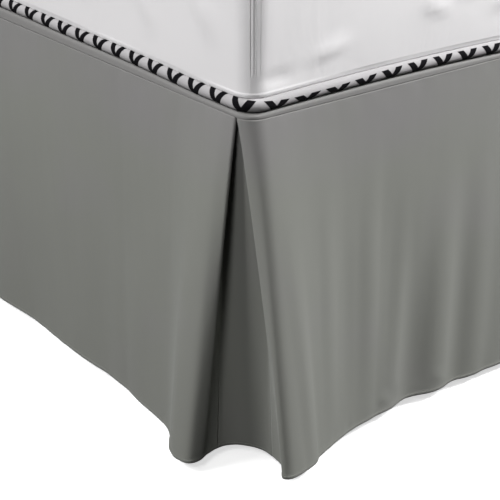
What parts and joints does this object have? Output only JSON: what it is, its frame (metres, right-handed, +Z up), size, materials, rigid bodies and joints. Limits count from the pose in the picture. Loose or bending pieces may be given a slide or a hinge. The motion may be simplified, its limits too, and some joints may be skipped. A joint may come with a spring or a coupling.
{
  "type": "bed skirt on a bed with its foundation and mattress",
  "caption": "Tailored grey bed skirt with inverted corner pleats, hanging from its deck over a box foundation on legs, under a piped mattress.",
  "frame": {"origin": "on the floor, under the middle of the whole, the pleats' flare at the foot included", "axes": "+Z up, +Y towards the head of the bed, the foot panel faces -Y"},
  "size_m": [1.6206, 2.0782, 0.6473],
  "materials": {
    "skirt_cloth": "mid grey brushed microfibre, smooth with a soft sheen",
    "deck_cloth": "thin grey nonwoven platform cloth",
    "mattress_knit": "white stretch knit",
    "piping": "white round piping with black chevron overstitching",
    "foundation_cover": "plain off-white woven cover",
    "leg_wood": "dark stained, satin"
  },
  "bodies": {
    "root": {"deck": "deck_cloth", "side_panel_left": "skirt_cloth", "side_panel_right": "skirt_cloth", "foot_panel": "skirt_cloth", "pleat_insert_left": "skirt_cloth", "pleat_insert_right": "skirt_cloth", "foundation": "foundation_cover", "leg_1": "leg_wood", "leg_2": "leg_wood", "leg_3": "leg_wood", "leg_4": "leg_wood", "leg_5": "leg_wood", "leg_6": "leg_wood", "mattress": "mattress_knit", "tape_edge_lower": "piping", "tape_edge_upper": "piping"}
  },
  "joints": []
}
